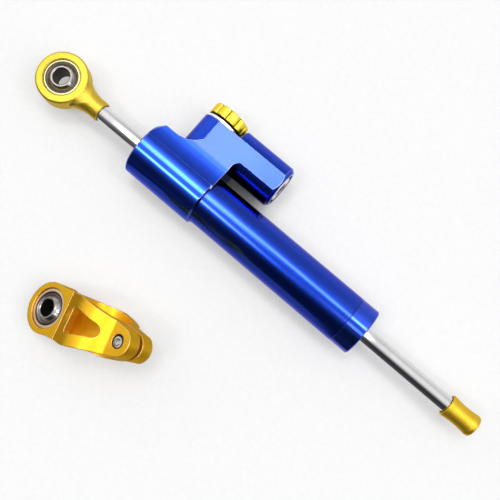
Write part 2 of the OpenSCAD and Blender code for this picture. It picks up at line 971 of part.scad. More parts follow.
module stem_o_ring() {
    color(rubber)
        translate([boss_x, seal_y, 0])
            rotate([-90, 0, 0])
                rotate_extrude()
                    translate([stem_r - stem_cord, 0])
                        circle(stem_cord, $fn = 32);
}

module knob_screw() {
    color(steel)
        difference() {
            turned_y(boss_x, [
                [0, seal_y + 2],
                [screw_hole, seal_y + 2],
                [screw_hole, knob_web],
                [recess_r - 0.4, knob_web],
                [recess_r - 0.4, knob_end - 0.9],
                [recess_r - 0.8, knob_end - 0.4],
                [0, knob_end - 0.4]
            ]);
            translate([boss_x, knob_end - 1.7, 0])
                rotate([-90, 0, 0])
                    cylinder(h = 3, r = 1.2, $fn = 6);
        }
}

// The needle: its thread runs in the gland, its cone in the seat's hole.
module needle() {
    cone = (needle_rod_r - needle_tip_r) / needle_slope;
    fit = 0.1;
    color(bronze)
        difference() {
            turned_y(boss_x, [
                [0, needle_tip],
                [needle_tip_r, needle_tip],
                [needle_rod_r, needle_tip + cone],
                [needle_rod_r, needle_body],
                [thread_r - thread_fit, needle_body],
                [thread_r - thread_fit, needle_body_end],
                [0, needle_body_end]
            ]);
            translate([boss_x - tongue / 2 - fit / 2, needle_body + 0.9, -tongue / 2 - fit / 2])
                cube([tongue + fit, needle_body_end - needle_body, tongue + fit]);
        }
}

float_cord = 0.9;
float_ring_x = float_x + float_len / 2;

module floating_piston() {
    groove = res_bore - float_fit - 2 * float_cord;
    color(steel)
        translate([0, res_y, 0])
            turned_x([
                [0, float_x + 1],
                [res_bore - 3, float_x + 1],
                [res_bore - 3, float_x],
                [res_bore - float_fit, float_x],
                [res_bore - float_fit, float_ring_x - 1.2 * float_cord],
                [groove, float_ring_x - 1.2 * float_cord],
                [groove, float_ring_x + 1.2 * float_cord],
                [res_bore - float_fit, float_ring_x + 1.2 * float_cord],
                [res_bore - float_fit, float_x + float_len],
                [0, float_x + float_len]
            ]);
}

module floating_piston_seal() {
    color(rubber)
        translate([0, res_y, 0])
            o_ring_x(float_ring_x, res_bore - float_fit - float_cord, float_cord);
}

// Puts a piece of the clamp where the clamp lies: U along its arm, V along
// its ring's axis, W along its bearing's bore.
module clamp_place() {
    translate([clamp_x, clamp_y, clamp_z])
        rotate([0, 0, clamp_turn])
            rotate([0, -clamp_tilt, 0])
                children();
}

// Extrudes an outline drawn in U and W along V.
module along_v() {
    translate([0, 2 * ring_out, 0])
        rotate([90, 0, 0])
            linear_extrude(4 * ring_out)
                children();
}

// A hollow corner of radius r between a level face at height w and the
// ring's outside, to the left (side -1) or right (side 1) of the ring.
module ring_corner(w, r, side) {
    rise = w + arm_drop;
    out = sqrt(pow(ring_out + r, 2) - pow(rise + r, 2));
    touch = [side * out, rise + r] * (ring_out - 0.05) / (ring_out + r);
    difference() {
        along_v()
            translate([arm_len, -arm_drop])
                polygon([[side * out, rise - past], [side * out, rise], touch, [0, rise - past]]);
        translate([arm_len + side * out, 0, w + r])
            rotate([90, 0, 0])
                cylinder(h = 5 * ring_out, r = r, center = true);
    }
}

// The clamp seen along V: boss, ring and ears.
module clamp_side() {
    translate([-lug_r - past, -2 * ring_out, -lug_t / 2])
        cube([lug_r + past + arm_len - ring_in, 4 * ring_out, lug_t]);
    translate([arm_len, 0, -arm_drop])
        rotate([90, 0, 0])
            cylinder(h = 4 * ring_out, r = ring_out, center = true);
    translate([arm_len + 3, -2 * ring_out, -arm_drop - ear_back])
        cube([screw_u + ear_r + past - arm_len, 4 * ring_out, ear_back + ear_front]);
    ring_corner(lug_t / 2, 4, -1);
    ring_corner(ear_front - arm_drop, 2.5, 1);
}

// The clamp seen along W: it narrows from the boss to the round ears.
module clamp_plan() {
    wide_u = arm_len - 4;
    end_u = screw_u + ear_r + past;
    half = flank(wide_u, arm_half, screw_u, ear_r, end_u);
    tall = 4 * ring_out;
    translate([0, 0, -tall / 2]) {
        cylinder(h = tall, r = lug_r);
        difference() {
            linear_extrude(tall)
                polygon([[3, arm_half], [wide_u, arm_half], [end_u, half],
                         [end_u, -half], [wide_u, -arm_half], [3, -arm_half]]);
            difference() {
                translate([screw_u, -arm_half, -past])
                    cube([2 * ear_r, 2 * arm_half, tall + 2 * past]);
                translate([screw_u - 0.3, 0, -2 * past])
                    cylinder(h = tall + 4 * past, r = ear_r + 0.3);
            }
        }
    }
}

// The opening in the ring's front wall: it narrows towards the ears, and
// its corners are round.
module window(tall) {
    left = arm_len - 6.8;
    corner = 2;
    half = arm_half - 6.4;
    nose = 4.3;
    reach = 9.6;
    nose_u = arm_len + reach;
    nose_half = flank(left + corner, half, nose_u, nose, nose_u);
    side = [for (turn = [90 : 30 : 180])
        [left + corner + corner * cos(turn), half - corner + corner * sin(turn)]];
    translate([nose_u - 0.2, 0, 0])
        cylinder(h = tall, r = nose + 0.2);
    linear_extrude(tall)
        polygon(concat(
            [[nose_u, nose_half]],
            side,
            [for (i = [len(side) - 1 : -1 : 0]) [side[i][0], -side[i][1]]],
            [[nose_u, -nose_half]]
        ));
}

module clamp_bracket() {
    color(gold)
        clamp_place()
            difference() {
                intersection() {
                    clamp_plan();
                    clamp_side();
                }
                cylinder(h = 4 * lug_t, r = clamp_race_r, center = true);
                translate([arm_len, 0, -arm_drop])
                    rotate([90, 0, 0])
                        cylinder(h = 4 * arm_half, r = ring_in, center = true);
                translate([arm_len, -2 * arm_half, -arm_drop - slot_w / 2])
                    cube([2 * screw_u, 4 * arm_half, slot_w]);
                window(ring_out + past);
                // pinch screw: head recess, clearance hole, tapped hole
                translate([screw_u, 0, -arm_drop]) {
                    translate([0, 0, ear_front - head_deep])
                        cylinder(h = ring_out, r = screw_head_r + 0.6);
                    cylinder(h = ring_out, r = screw_r + 0.25);
                    translate([0, 0, -ear_back - past])
                        cylinder(h = ear_back + 2 * past, r = screw_r);
                }
            }
}

module clamp_race() {
    color(steel)
        clamp_place()
            race(clamp_race_r, ball_r);
}

module clamp_ball() {
    color(steel)
        clamp_place()
            ball();
}

module pinch_screw() {
    head_top = ear_front - 0.5;
    shank_end = -ear_back + 0.6;
    color(steel)
        clamp_place()
            translate([screw_u, 0, -arm_drop])
                difference() {
                    rotate_extrude()
                        polygon([
                            [0, shank_end],
                            [screw_r - 0.4, shank_end],
                            [screw_r, shank_end + 0.4],
                            [screw_r, ear_front - head_deep],
                            [screw_head_r, ear_front - head_deep],
                            [screw_head_r, head_top - 0.4],
                            [screw_head_r - 0.4, head_top],
                            [0, head_top]
                        ]);
                    translate([0, 0, head_top - 2])
                        cylinder(h = 4, r = 0.86 * screw_r, $fn = 6);
                }
}

head_block();
damper_tube();
inner_tube();
end_cap();
rod_bushes();
rod_seals();
rod_wipers();
tube_o_rings();
valve_seat();
adjuster_gland();
end_plug();
plug_o_ring();
plug_circlip();
fill_screw();
piston_rod();
piston();
piston_clips();
piston_guide_ring();
rod_eye();
rod_eye_race();
rod_eye_ball();
bumper();
adjuster_knob();
adjuster_stem();
stem_o_ring();
knob_screw();
needle();
floating_piston();
floating_piston_seal();
clamp_bracket();
clamp_race();
clamp_ball();
pinch_screw();
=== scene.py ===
import json
import math

import bpy
from mathutils import Matrix, Vector


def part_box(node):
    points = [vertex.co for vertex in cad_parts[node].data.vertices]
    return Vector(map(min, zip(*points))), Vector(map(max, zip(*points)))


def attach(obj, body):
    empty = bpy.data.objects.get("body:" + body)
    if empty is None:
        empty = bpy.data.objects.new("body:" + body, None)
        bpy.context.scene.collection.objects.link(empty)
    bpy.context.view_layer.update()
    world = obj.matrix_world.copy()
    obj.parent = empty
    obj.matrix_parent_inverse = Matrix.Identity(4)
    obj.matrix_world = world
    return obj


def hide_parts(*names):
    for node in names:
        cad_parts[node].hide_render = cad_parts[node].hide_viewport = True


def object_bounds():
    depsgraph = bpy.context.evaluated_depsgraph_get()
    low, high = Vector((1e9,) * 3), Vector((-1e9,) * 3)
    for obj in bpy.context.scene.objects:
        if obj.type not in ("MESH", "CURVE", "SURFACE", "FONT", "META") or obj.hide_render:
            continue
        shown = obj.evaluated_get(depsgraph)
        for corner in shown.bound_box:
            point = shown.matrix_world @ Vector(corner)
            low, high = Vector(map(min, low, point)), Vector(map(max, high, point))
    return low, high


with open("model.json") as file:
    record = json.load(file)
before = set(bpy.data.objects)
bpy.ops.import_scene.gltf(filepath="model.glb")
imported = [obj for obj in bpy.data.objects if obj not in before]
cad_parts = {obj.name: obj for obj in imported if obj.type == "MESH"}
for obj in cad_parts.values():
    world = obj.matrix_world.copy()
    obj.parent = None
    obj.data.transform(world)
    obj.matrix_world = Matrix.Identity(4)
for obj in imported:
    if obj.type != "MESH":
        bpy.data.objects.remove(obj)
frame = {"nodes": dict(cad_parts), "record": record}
nodes = frame["nodes"]
cad_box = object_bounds()

# The camera stands almost overhead, turned so that the damper runs from the
# upper left to the lower right of a square picture.
camera_data = bpy.data.cameras.new("camera")
camera_data.sensor_width = 36.0
camera_data.lens = 51.03
camera_data.clip_start = 0.01
camera = bpy.data.objects.new("camera", camera_data)
bpy.context.scene.collection.objects.link(camera)
camera_place = Vector((0.1861, -0.0471, 0.405))
camera_aim = Vector((0.1504, -0.0054, 0.0))
camera_side = Vector((0.7596, 0.6504, 0.0))
camera_back = (camera_place - camera_aim).normalized()
camera_right = (camera_side - camera_back * camera_side.dot(camera_back)).normalized()
camera_up = camera_back.cross(camera_right)
camera_turn = Matrix((camera_right, camera_up, camera_back)).transposed()
camera.matrix_world = Matrix.Translation(camera_place) @ camera_turn.to_4x4()
bpy.context.scene.camera = camera
bpy.context.scene.view_settings.view_transform = "Standard"

# The studio is a white tent with long lamps overhead, in line with the
# damper, and a black board low down on the side away from the knob. The
# camera sees only a plain pale room past the ground.
world = bpy.data.worlds.new("studio")
bpy.context.scene.world = world
world.use_nodes = True
tent = world.node_tree
tent.nodes.clear()


def wire(tree, kind, values=(), **links):
    """Adds a node and sets or links its inputs, by socket name or as i0, i1 by number."""
    node = tree.nodes.new(kind)
    for key, value in dict(values).items():
        node.inputs[key].default_value = value
    for key, source in links.items():
        number = key[1:]
        socket = int(number) if number.isdigit() else key.replace("_", " ")
        tree.links.new(source, node.inputs[socket])
    return node


def stops(node, points):
    """Sets the stops of a colour ramp from (place, colour) pairs."""
    elements = node.color_ramp.elements
    while len(elements) > 1:
        elements.remove(elements[-1])
    for number, (place, colour) in enumerate(points):
        element = elements[0] if number == 0 else elements.new(place)
        element.position = place
        element.color = (*colour, 1.0)


def maths(tree, operation, *terms):
    """Adds a Math node and gives back its result; a term is a number or an output."""
    node = tree.nodes.new("ShaderNodeMath")
    node.operation = operation
    for number, term in enumerate(terms):
        if isinstance(term, (int, float)):
            node.inputs[number].default_value = term
        else:
            tree.links.new(term, node.inputs[number])
    return node.outputs[0]


def ramp(tree, source, low, high, start=0.0, end=1.0):
    """Maps a value from low..high to start..end, and holds it beyond."""
    limits = {"From Min": low, "From Max": high, "To Min": start, "To Max": end}
    return wire(tree, "ShaderNodeMapRange", limits, Value=source).outputs[0]


ray = wire(tent, "ShaderNodeTexCoord")
axes = wire(tent, "ShaderNodeSeparateXYZ", i0=ray.outputs["Generated"])
along = axes.outputs["X"]
angle_across = maths(tent, "ARCTAN2", axes.outputs["Y"], axes.outputs["Z"])
share_across = ramp(tent, angle_across, -math.pi, math.pi)
# a colour ramp holds 0 to 1, so the lamps are stored as shares of this
lamp_top = 24.0


def lamps_across(points):
    """The light from each angle across the damper, 0 overhead and + towards the knob."""
    node = wire(tent, "ShaderNodeValToRGB", Fac=share_across)
    stops(node, [((angle + 180) / 360, (value / lamp_top,) * 3) for angle, value in points])
    return node.outputs["Color"]


def lamps_between(share, before, after):
    """Passes from one row of lamps to another."""
    mix = wire(tent, "ShaderNodeMixRGB", Fac=share, Color1=before, Color2=after)
    return mix.outputs["Color"]


# two lamps burn over the head and over the end cap, and one over the tube;
# the rod, the eye and the clamp mirror the tent alone
end_lamps = lamps_across([
    (-180, 0.9), (-105, 0.40), (-92, 0.30), (-62, 0.62), (-40, 1.0), (-20, 1.25), (0, 1.4),
    (40, 1.2), (90, 1.1), (180, 1.1),
])
eye_lamps = lamps_across([
    (-180, 0.9), (-105, 0.30), (-92, 0.08), (-62, 0.15), (-48, 0.30), (-40, 0.6), (-30, 0.95),
    (-18, 1.05), (-6, 1.1), (2, 1.15), (14, 1.15), (22, 1.05), (35, 1.0), (48, 0.78),
    (62, 0.74), (76, 0.85), (90, 1.1), (180, 1.1),
])
head_lamps = lamps_across([
    (-180, 0.9), (-105, 0.35), (-92, 0.12), (-60, 0.10), (-50, 0.13), (-40, 0.4), (-34, 0.75),
    (-27, 1.6), (-24, 21.0), (-19, 21.0), (-16, 2.6), (-7, 2.0), (0, 3.0), (4, 15.0),
    (14, 17.0), (18, 7.0), (25, 3.0), (34, 1.35), (41, 0.9), (48, 0.7), (62, 0.54),
    (78, 0.6), (92, 0.85), (180, 1.3),
])
tube_lamps = lamps_across([
    (-180, 0.9), (-105, 0.35), (-92, 0.08), (-60, 0.05), (-42, 0.06), (-32, 0.22), (-22, 0.6),
    (-14, 0.9), (-4, 0.85), (4, 0.95), (9, 1.5), (12, 9.0), (18, 9.0), (24, 2.2), (31, 1.3),
    (38, 1.05), (46, 0.85), (62, 0.72), (78, 0.75), (92, 0.95), (180, 1.1),
])
cap_lamps = lamps_across([
    (-180, 0.9), (-105, 0.35), (-92, 0.10), (-60, 0.06), (-42, 0.08), (-32, 0.25), (-21, 0.5),
    (-17, 4.5), (-9, 4.5), (-6, 1.2), (2, 1.0), (9, 1.5), (12, 13.0), (18, 13.0), (22, 3.0),
    (30, 1.8), (38, 1.9), (46, 1.4), (56, 1.1), (72, 0.85), (90, 1.0), (180, 1.2),
])
rod_lamps = lamps_across([
    (-180, 1.0), (-105, 0.35), (-92, 0.06), (-60, 0.04), (-42, 0.05), (-30, 0.3), (-20, 0.6),
    (-8, 0.95), (7, 1.07), (31, 1.03), (55, 0.75), (75, 0.85), (103, 0.98), (180, 1.2),
])
lamps = lamps_between(ramp(tent, along, -0.19, -0.06), head_lamps, tube_lamps)
lamps = lamps_between(ramp(tent, along, 0.05, 0.08), lamps, cap_lamps)
over_rod = maths(tent, "MULTIPLY", ramp(tent, along, 0.110, 0.125),
                 ramp(tent, along, 0.36, 0.46, 1.0, 0.0))
lamps = lamps_between(over_rod, lamps, rod_lamps)
lamps = lamps_between(ramp(tent, along, -0.34, -0.28), eye_lamps, lamps)
lamps = lamps_between(ramp(tent, along, -0.75, -0.55), end_lamps, lamps)
# the end wall that the bumper points at is dimmer
tent_glow = ramp(tent, along, 0.5, 0.95, lamp_top, 0.4 * lamp_top)
light = wire(tent, "ShaderNodeBackground", Color=lamps, Strength=tent_glow)
room = wire(tent, "ShaderNodeBackground", {"Color": (0.90, 0.90, 0.905, 1.0), "Strength": 1.0})
path = wire(tent, "ShaderNodeLightPath")
seen = wire(tent, "ShaderNodeMixShader", i0=path.outputs["Is Camera Ray"],
            i1=light.outputs[0], i2=room.outputs[0])
wire(tent, "ShaderNodeOutputWorld", Surface=seen.outputs[0])

# The ground is a wide sheet of white card with a faint tooth, darker where
# pieces hide it from the tent, and painted shade deepens that close under them.
# A painted dark reflection, black at both ends, lies beside the damper for the polished metals
# alone.
floor_half = 3.0
floor_z = cad_box[0][2]
floor_mesh = bpy.data.meshes.new("floor")
floor_mesh.from_pydata(
    [(x * floor_half, y * floor_half, floor_z) for x, y in ((-1, -1), (1, -1), (1, 1), (-1, 1))],
    [], [(0, 1, 2, 3)])
floor = bpy.data.objects.new("floor", floor_mesh)
bpy.context.scene.collection.objects.link(floor)
white_card = bpy.data.materials.new("white_card")
white_card.use_nodes = True
card = white_card.node_tree
card_shader = card.nodes["Principled BSDF"]
card_shader.inputs["Roughness"].default_value = 0.9
card_shader.inputs["Specular IOR Level"].default_value = 0.1
card_spot = wire(card, "ShaderNodeTexCoord").outputs["Object"]
tooth = wire(card, "ShaderNodeTexNoise", {"Scale": 400.0, "Detail": 2.0}, Vector=card_spot)
card_white = wire(card, "ShaderNodeValToRGB", Fac=tooth.outputs["Fac"])
stops(card_white, [(0.3, (0.37, 0.37, 0.373)), (0.7, (0.39, 0.39, 0.392))])
# painted shade: ambient occlusion darkens the card's colour close under the pieces
card_sky = wire(card, "ShaderNodeAmbientOcclusion", {"Distance": 0.03})
card_sky.samples = 16
card_lit = ramp(card, card_sky.outputs["AO"], 0.06, 0.40)
card_axes = wire(card, "ShaderNodeSeparateXYZ", i0=card_spot)
# the painted dark reflection: half dark beside the tube, black beside the eye and the rod
at_ends = maths(card, "ADD", ramp(card, card_axes.outputs["X"], 0.045, 0.030),
                ramp(card, card_axes.outputs["X"], 0.205, 0.225))
dark_share = maths(card, "MULTIPLY_ADD", at_ends, 0.5, 0.5)
painted_dark_reflection = maths(card, "MULTIPLY", ramp(card, card_axes.outputs["Y"], -0.028, -0.050), dark_share)
mirrored = wire(card, "ShaderNodeLightPath").outputs["Is Glossy Ray"]
painted_dark_reflection = maths(card, "MULTIPLY", mirrored, painted_dark_reflection)
card_lit = maths(card, "MULTIPLY", card_lit, maths(card, "MULTIPLY_ADD", painted_dark_reflection, -0.95, 1.0))
card_shade = (0.02, 0.015, 0.03, 1.0)
card_colour = wire(card, "ShaderNodeMixRGB", {"Color1": card_shade}, Fac=card_lit,
                   Color2=card_white.outputs["Color"])
card.links.new(card_colour.outputs["Color"], card_shader.inputs["Base Color"])
# a faint glow keeps the card just under white; it fades with the painted shade and the painted dark
# reflection
card_shader.inputs["Emission Color"].default_value = (1.0, 1.0, 1.0, 1.0)
card.links.new(maths(card, "MULTIPLY", card_lit, 0.35), card_shader.inputs["Emission Strength"])
floor_mesh.materials.append(white_card)


# The head is one block of blue anodised aluminium, machined from a billet:
# the round head, the web with its flat top, the adjuster's boss and the
# reservoir. The fine lines of the cutter run across its length.
def paint(obj, material):
    """Puts a material in every slot of a piece."""
    if not obj.material_slots:
        obj.data.materials.append(material)
    for slot in obj.material_slots:
        slot.material = material


def metal(name, dark, pale, rough, lines=(0.0, 0.0, 0.0), depth=0.02, edge=0.00025, coat=0.0,
          rim=(1.0, 1.0, 1.0), wear_and_highlight=0.0):
    """A metal whose colour drifts from dark to pale in faint clouds.

    Its tool lines lie across the axes in lines, at a strength of depth. Its edges are
    rounded by edge, and wear_and_highlight wears them bare with a painted highlight. coat
    is its clear coat's share, and rim tints what it mirrors at a glancing angle.
    """
    material = bpy.data.materials.new(name)
    material.use_nodes = True
    tree = material.node_tree
    shader = tree.nodes["Principled BSDF"]
    shader.inputs["Metallic"].default_value = 1.0
    shader.inputs["Coat Weight"].default_value = coat
    shader.inputs["Coat Roughness"].default_value = 0.6 * rough
    shader.inputs["Coat IOR"].default_value = 1.4
    shader.inputs["Specular Tint"].default_value = (*rim, 1.0)
    spot = wire(tree, "ShaderNodeTexCoord").outputs["Object"]
    cloud = wire(tree, "ShaderNodeTexNoise", {"Scale": 90.0, "Detail": 4.0, "Roughness": 0.6},
                 Vector=spot)
    tint = wire(tree, "ShaderNodeValToRGB", Fac=cloud.outputs["Fac"])
    stops(tint, [(0.3, dark), (0.7, pale)])

    # on a rounded edge the soft normal leans away from the face's own
    soft = wire(tree, "ShaderNodeBevel", {"Radius": edge})
    soft.samples = 6
    face = tree.nodes.new("ShaderNodeNewGeometry")
    bend = wire(tree, "ShaderNodeVectorMath", i0=soft.outputs[0], i1=face.outputs["Normal"])
    bend.operation = "DOT_PRODUCT"
    # painted highlight: pale bare metal on the rounded edges, hollow ones too, stands for both wear
    # and a highlight
    edge_wear_and_highlight = ramp(tree, bend.outputs["Value"], 0.999, 0.93, 0.0, wear_and_highlight)
    bare_and_highlight_colour = (0.75, 0.75, 0.78, 1.0)
    colour = wire(tree, "ShaderNodeMixRGB", {"Color2": bare_and_highlight_colour}, Fac=edge_wear_and_highlight,
                  Color1=tint.outputs["Color"])
    tree.links.new(colour.outputs["Color"], shader.inputs["Base Color"])

    # noise drawn out along the lines gives the tool marks
    fineness = tuple(40.0 + 5000.0 * line for line in lines)
    drawn = wire(tree, "ShaderNodeMapping", {"Scale": fineness}, Vector=spot)
    marks = wire(tree, "ShaderNodeTexNoise", {"Scale": 1.0, "Detail": 3.0}, Vector=drawn.outputs[0])
    gloss = ramp(tree, marks.outputs["Fac"], 0.3, 0.7, 0.85 * rough, 1.2 * rough)
    tree.links.new(gloss, shader.inputs["Roughness"])
    relief = wire(tree, "ShaderNodeBump", {"Strength": depth, "Distance": 0.0002},
                  Height=marks.outputs["Fac"], Normal=soft.outputs[0])
    tree.links.new(relief.outputs[0], shader.inputs["Normal"])
    return material


def finish_where(material, mask, rough, colour=None):
    """Gives a metal another gloss, and perhaps another colour, where mask is 1."""
    tree = material.node_tree
    shader = tree.nodes["Principled BSDF"]
    old_rough = shader.inputs["Roughness"].links[0].from_socket
    more_rough = maths(tree, "SUBTRACT", rough, old_rough)
    new_rough = maths(tree, "MULTIPLY_ADD", mask, more_rough, old_rough)
    tree.links.new(new_rough, shader.inputs["Roughness"])
    if colour:
        old_colour = shader.inputs["Base Color"].links[0].from_socket
        new_colour = wire(tree, "ShaderNodeMixRGB", {"Color2": (*colour, 1.0)}, Fac=mask,
                          Color1=old_colour)
        tree.links.new(new_colour.outputs["Color"], shader.inputs["Base Color"])


def painted_crevice_shade(material, reach):
    """Paints shade into a metal's colour where pieces stand close over it."""
    tree = material.node_tree
    colour = tree.nodes["Principled BSDF"].inputs["Base Color"]
    sky = wire(tree, "ShaderNodeAmbientOcclusion", {"Distance": reach})
    sky.samples = 8
    lit = ramp(tree, sky.outputs["AO"], 0.55, 0.90, 0.05, 1.0)
    painted_shade_colour = (0.0, 0.002, 0.02, 1.0)
    dim = wire(tree, "ShaderNodeMixRGB", {"Color1": painted_shade_colour}, Fac=lit,
               Color2=colour.links[0].from_socket)
    tree.links.new(dim.outputs["Color"], colour)


def spot_on(material):
    """The place of a point of the surface, as one vector."""
    return wire(material.node_tree, "ShaderNodeTexCoord").outputs["Object"]


def axis_of(material, axis):
    """The X, Y or Z of a point of the surface."""
    return wire(material.node_tree, "ShaderNodeSeparateXYZ", i0=spot_on(material)).outputs[axis]


def band(tree, value, low, high, soft=0.00005):
    """1 where a value lies between low and high, and 0 beyond."""
    rise = ramp(tree, value, low - soft, low + soft)
    fall = ramp(tree, value, high - soft, high + soft, 1.0, 0.0)
    return maths(tree, "MULTIPLY", rise, fall)


blue_dark = (0.003, 0.044, 0.47)
blue_pale = (0.005, 0.053, 0.56)
blue_rim = (0.25, 0.35, 0.8)
head_blue = metal("head_blue", blue_dark, blue_pale, 0.09, lines=(1, 0, 0), depth=0.01,
                  edge=0.0006, coat=0.5, rim=blue_rim, wear_and_highlight=0.5)
head_tree = head_blue.node_tree
# past the round head the block is less bright
head_side = 0.0185
web_side = 0.0215
finish_where(head_blue, ramp(head_tree, axis_of(head_blue, "Y"), head_side, web_side), 0.16)
# its flat top and bottom are milled, which leaves them satin
flat_z = 0.0125
head_height = maths(head_tree, "ABSOLUTE", axis_of(head_blue, "Z"))
milled = band(head_tree, head_height, flat_z - 0.00004, flat_z + 0.0002, 0.00001)
finish_where(head_blue, milled, 0.36)
# the reservoir's rim is faced after anodising, down to the bare metal
rim_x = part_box("head_block")[1].x
faced = ramp(head_tree, axis_of(head_blue, "X"), rim_x - 0.00012, rim_x - 0.00004)
finish_where(head_blue, faced, 0.35, colour=(0.85, 0.85, 0.84))
# painted shade darkens the blue in the notch and creases where pieces stand close over it
blue_shade_reach = 0.016
painted_crevice_shade(head_blue, blue_shade_reach)
paint(nodes["head_block"], head_blue)

# The tube and the end cap are turned on a lathe and anodised like the head.
# Their tool lines run round them, and the cap is polished.
tube_blue = metal("tube_blue", (0.003, 0.036, 0.40), (0.005, 0.044, 0.48), 0.18,
                  lines=(1, 0, 0), depth=0.03, coat=0.5, rim=blue_rim, wear_and_highlight=0.15)
# painted shade darkens the tube where the head and reservoir stand close over it
painted_crevice_shade(tube_blue, blue_shade_reach)
paint(nodes["damper_tube"], tube_blue)
cap_blue = metal("cap_blue", blue_dark, blue_pale, 0.06, lines=(1, 0, 0), depth=0.01,
                 coat=0.8, rim=blue_rim, wear_and_highlight=0.15)
paint(nodes["end_cap"], cap_blue)

# The rod runs right through the body. It is steel, ground and plated with
# hard chrome, which makes it close to a mirror.
chrome = metal("hard_chrome", (0.68, 0.68, 0.69), (0.74, 0.74, 0.75), 0.03,
               lines=(0.2, 1, 1), depth=0.004)
paint(nodes["piston_rod"], chrome)

# The rod eye screws onto the rod's end. It is turned and milled from
# aluminium, bead-blasted and anodised gold.
gold_rim = (0.95, 0.76, 0.18)
eye_gold = metal("eye_gold", (0.53, 0.37, 0.028), (0.62, 0.44, 0.042), 0.46,
                 lines=(0.3, 0.3, 0.3), depth=0.06, edge=0.0007, coat=0.4, rim=gold_rim, wear_and_highlight=0.1)
paint(nodes["rod_eye"], eye_gold)

# The bumper caps the rod's other end. It is turned, with a thin lip round
# the rod, and anodised with the eye.
bumper_gold = metal("bumper_gold", (0.60, 0.38, 0.023), (0.70, 0.46, 0.034), 0.50,
                    lines=(1, 0, 0), depth=0.06, coat=0.2, rim=gold_rim, wear_and_highlight=0.15)
paint(nodes["bumper"], bumper_gold)


# Each bearing has a pale outer ring, staked into its eye, with painted shade
# darkening it towards the ground ball that turns in it. The ball's bore is
# painted dark for the shade inside the hole.
def from_centre(material, centre):
    """The way from a centre to a point of the surface."""
    away = wire(material.node_tree, "ShaderNodeVectorMath", {1: centre}, i0=spot_on(material))
    away.operation = "SUBTRACT"
    return away.outputs[0]


def distance_from(material, centre, axis):
    """How far a point of the surface lies from an axis."""
    tree = material.node_tree
    across = wire(tree, "ShaderNodeVectorMath", {1: axis}, i0=from_centre(material, centre))
    across.operation = "CROSS_PRODUCT"
    length = wire(tree, "ShaderNodeVectorMath", i0=across.outputs[0])
    length.operation = "LENGTH"
    return length.outputs["Value"]


def height_over(material, centre, axis):
    """How far a point of the surface lies above or below the middle of an axis."""
    tree = material.node_tree
    height = wire(tree, "ShaderNodeVectorMath", {1: axis}, i0=from_centre(material, centre))
    height.operation = "DOT_PRODUCT"
    return maths(tree, "ABSOLUTE", height.outputs["Value"])


def bearing(name, centre, axis, shades, ring, ball):
    """Finishes a bearing's outer ring and ball by their distance from the bore's axis."""
    ring_steel = metal(name + "_ring", (0.88, 0.88, 0.88), (1.0, 1.0, 1.0), 0.34,
                       lines=(0.5, 0.5, 0.5), depth=0.03)
    ring_tree = ring_steel.node_tree
    ring_colour = ring_tree.nodes["Principled BSDF"].inputs["Base Color"]
    ring_inner = 0.007
    ring_outer = 0.012
    # painted shade: the ring darkens towards the ball, with a dark line for the shade in the gap
    # round it
    outwards = ramp(ring_tree, distance_from(ring_steel, centre, axis), ring_inner, ring_outer)
    shade = wire(ring_tree, "ShaderNodeValToRGB", Fac=outwards)
    ring_wide = ring_outer - ring_inner
    stops(shade, [((radius - ring_inner) / ring_wide, colour) for radius, colour in shades])
    shaded = wire(ring_tree, "ShaderNodeMixRGB", {"Fac": 1.0}, Color1=shade.outputs["Color"],
                  Color2=ring_colour.links[0].from_socket)
    shaded.blend_type = "MULTIPLY"
    ring_tree.links.new(shaded.outputs["Color"], ring_colour)
    paint(nodes[ring], ring_steel)

    ball_steel = metal(name + "_ball", (0.36, 0.34, 0.33), (0.48, 0.46, 0.45), 0.16, depth=0.01)
    ball_tree = ball_steel.node_tree
    ball_face = 0.007
    face = ramp(ball_tree, height_over(ball_steel, centre, axis),
                ball_face - 0.0001, ball_face - 0.00002)
    finish_where(ball_steel, face, 0.40, colour=(0.30, 0.28, 0.26))
    # painted shade: the bore is darkened for the shade inside the hole
    bore = 0.005
    painted_bore_shade = ramp(ball_tree, distance_from(ball_steel, centre, axis),
                 bore + 0.00005, bore + 0.0002, 1.0, 0.0)
    finish_where(ball_steel, painted_bore_shade, 0.5, colour=(0.040, 0.038, 0.030))
    paint(nodes[ball], ball_steel)


def staked(material, centre, axis, low, high, colour):
    """Draws the dark groove that holds a bearing's ring in its eye."""
    groove = band(material.node_tree, distance_from(material, centre, axis), low, high, 0.0001)
    finish_where(material, groove, 0.6, colour=colour)


eye_centre = (0.0, 0.0, 0.0)
eye_axis = (0.0, 0.0, 1.0)
bearing("eye_bearing", eye_centre, eye_axis, [
    (0.0076, (0.26, 0.22, 0.20)), (0.0086, (0.13, 0.11, 0.095)), (0.0095, (0.035, 0.030, 0.012)),
    (0.0098, (0.035, 0.030, 0.012)), (0.0100, (0.56, 0.52, 0.30)), (0.0110, (0.56, 0.52, 0.30)),
], "rod_eye_race", "rod_eye_ball")
staked(eye_gold, eye_centre, eye_axis, 0.01125, 0.0116, (0.10, 0.075, 0.008))
clamp_eye = [mount for mount in frame["record"]["mounts"] if mount["name"] == "clamp_eye"][0]
clamp_centre = tuple(clamp_eye["pos_m"])
clamp_axis = tuple(clamp_eye["axis"])
bearing("clamp_bearing", clamp_centre, clamp_axis, [
    (0.0076, (0.40, 0.385, 0.40)), (0.0090, (0.30, 0.29, 0.30)), (0.0094, (0.03, 0.025, 0.022)),
    (0.0100, (0.03, 0.025, 0.022)), (0.0102, (0.80, 0.58, 0.36)), (0.0117, (0.80, 0.58, 0.36)),
    (0.0119, (0.16, 0.07, 0.012)),
], "clamp_race", "clamp_ball")


